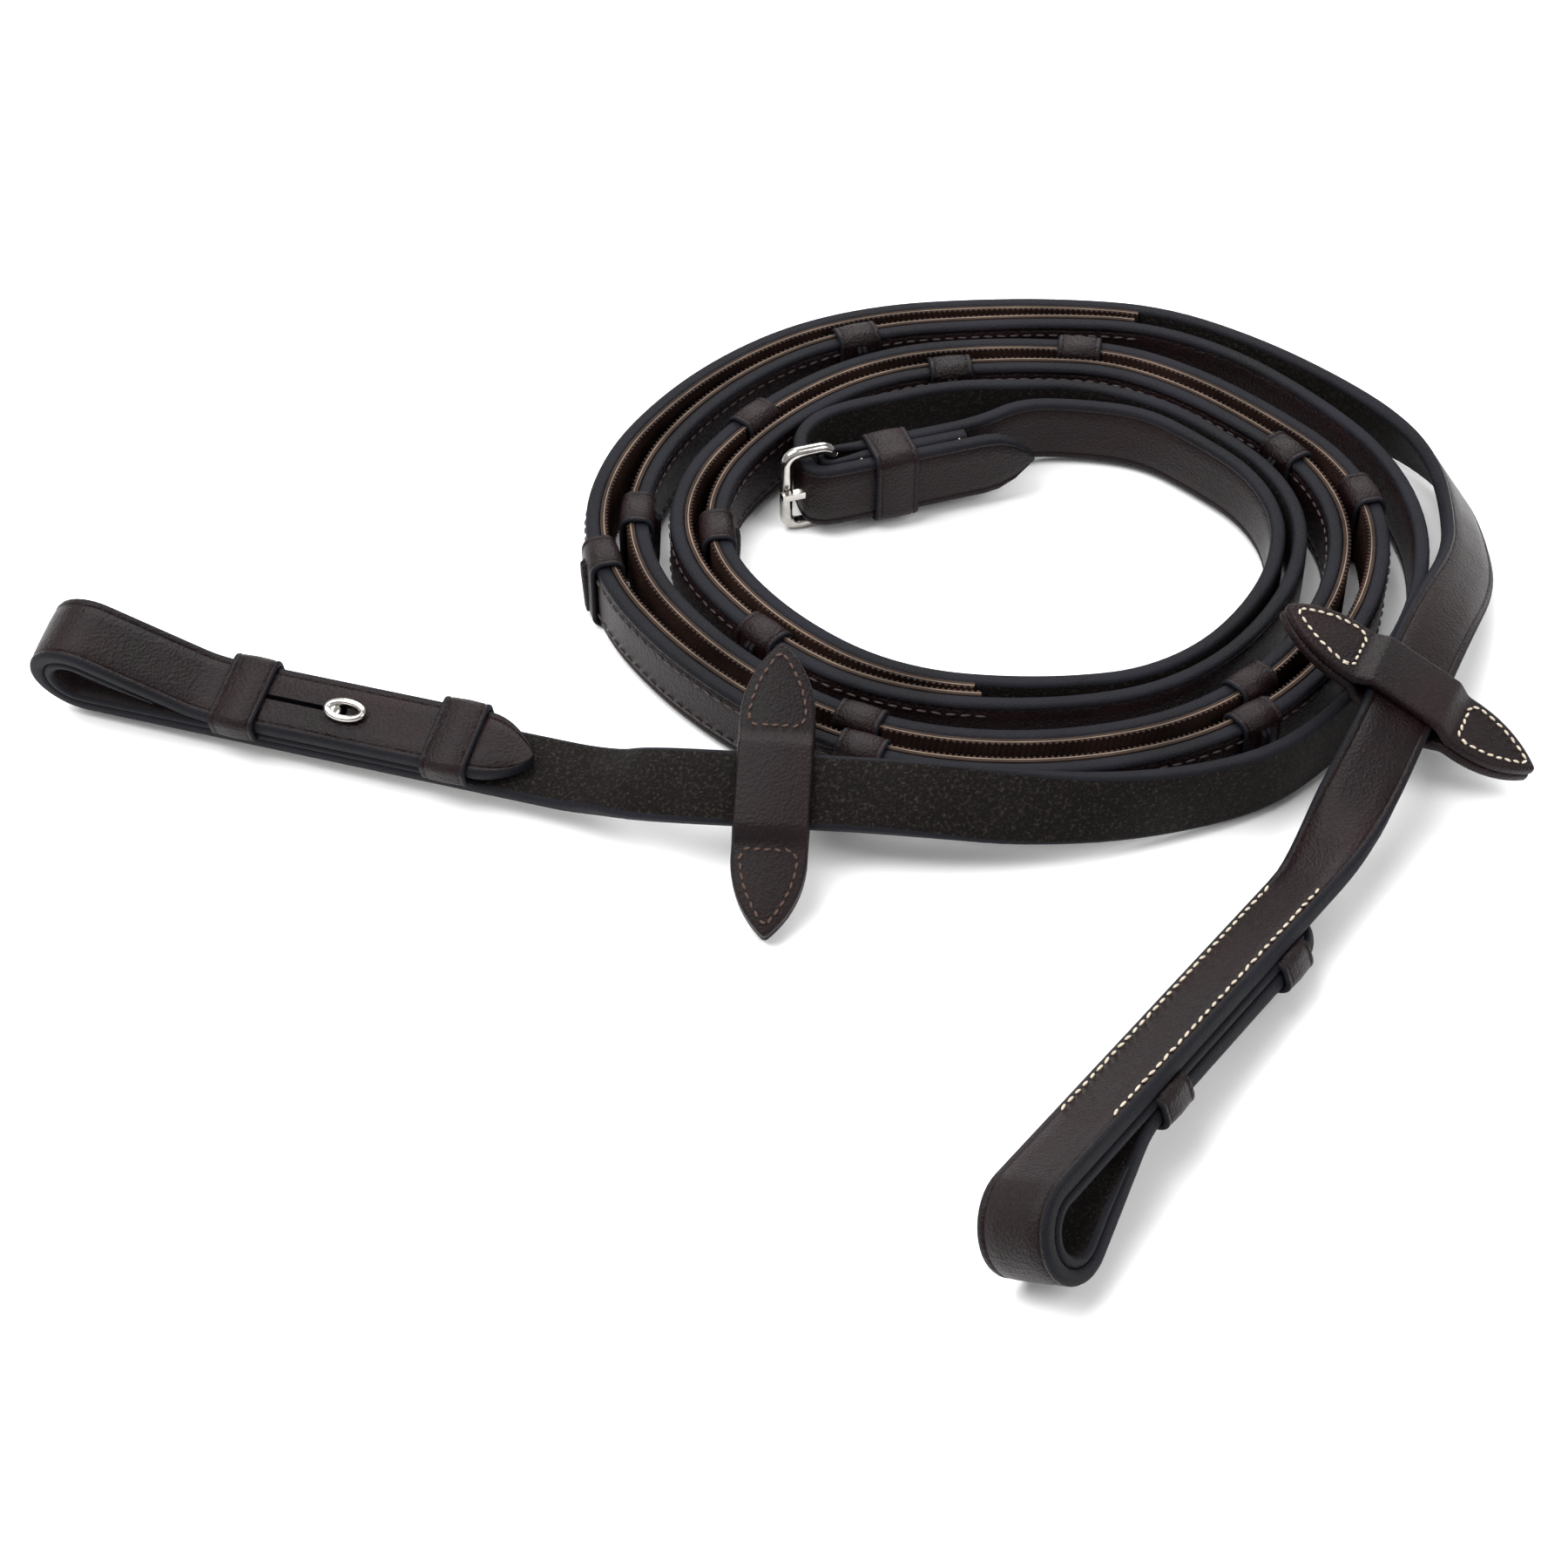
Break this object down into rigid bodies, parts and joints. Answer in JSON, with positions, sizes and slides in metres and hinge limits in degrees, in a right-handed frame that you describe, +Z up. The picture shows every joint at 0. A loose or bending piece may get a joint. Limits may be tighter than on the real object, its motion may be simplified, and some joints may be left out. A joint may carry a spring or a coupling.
{
  "type": "leather reins",
  "caption": "Pair of buckled leather riding reins with grip lining, hand stops, rein stops and hook-stud bit ends, coiled on edge.",
  "frame": {"origin": "middle of the whole layout, on the surface that it lies on", "axes": "+Z up, away from the surface; -Y towards the side where the two bit ends point forwards; +X to the right from there"},
  "size_m": [0.3299, 0.302, 0.0365],
  "materials": {
    "bridle_leather": "waxed, fine grain, satin",
    "lining_leather": "rough grip lining with a pimpled zigzag face",
    "steel": "polished"
  },
  "bodies": {
    "reins": {"buckle_keeper": "bridle_leather", "left_bit_lining": "bridle_leather", "left_grip_lining": "lining_leather", "left_hand_stop_1": "bridle_leather", "left_hand_stop_2": "bridle_leather", "left_hand_stop_3": "bridle_leather", "left_hand_stop_4": "bridle_leather", "left_hand_stop_5": "bridle_leather", "left_hand_stop_6": "bridle_leather", "left_hand_stop_7": "bridle_leather", "left_hook_stud": "steel", "left_loop_keeper": "bridle_leather", "left_point_keeper": "bridle_leather", "left_rein_strap": "bridle_leather", "right_bit_lining": "bridle_leather", "right_grip_lining": "lining_leather", "right_hand_stop_1": "bridle_leather", "right_hand_stop_2": "bridle_leather", "right_hand_stop_3": "bridle_leather", "right_hand_stop_4": "bridle_leather", "right_hand_stop_5": "bridle_leather", "right_hand_stop_6": "bridle_leather", "right_hand_stop_7": "bridle_leather", "right_hook_stud": "steel", "right_loop_keeper": "bridle_leather", "right_point_keeper": "bridle_leather", "right_rein_strap": "bridle_leather"},
    "left_rein_stop": {"left_rein_stop_lower_leaf": "bridle_leather", "left_rein_stop_upper_leaf": "bridle_leather"},
    "right_rein_stop": {"right_rein_stop_lower_leaf": "bridle_leather", "right_rein_stop_upper_leaf": "bridle_leather"},
    "buckle_frame": {"buckle_frame": "steel"},
    "buckle_tongue": {"buckle_tongue": "steel"}
  },
  "joints": [
    {"name": "left_stop_slide", "type": "slide", "parent": "reins", "child": "left_rein_stop", "axis": [-0.998, 0.0628, 0.0111], "range_m": [-0.005, 0.005]},
    {"name": "right_stop_slide", "type": "slide", "parent": "reins", "child": "right_rein_stop", "axis": [-0.4082, -0.9128, 0.0148], "range_m": [-0.005, 0.005]},
    {"name": "buckle_turn", "type": "hinge", "parent": "reins", "child": "buckle_frame", "pos_m": [0.01165, 0.08451, 0.0118], "axis": [0, 0, 1], "range_deg": [-5, 5]},
    {"name": "tongue_lift", "type": "hinge", "parent": "buckle_frame", "child": "buckle_tongue", "pos_m": [0.01165, 0.08451, 0.0118], "axis": [0, 0, 1], "range_deg": [0, 8]}
  ]
}
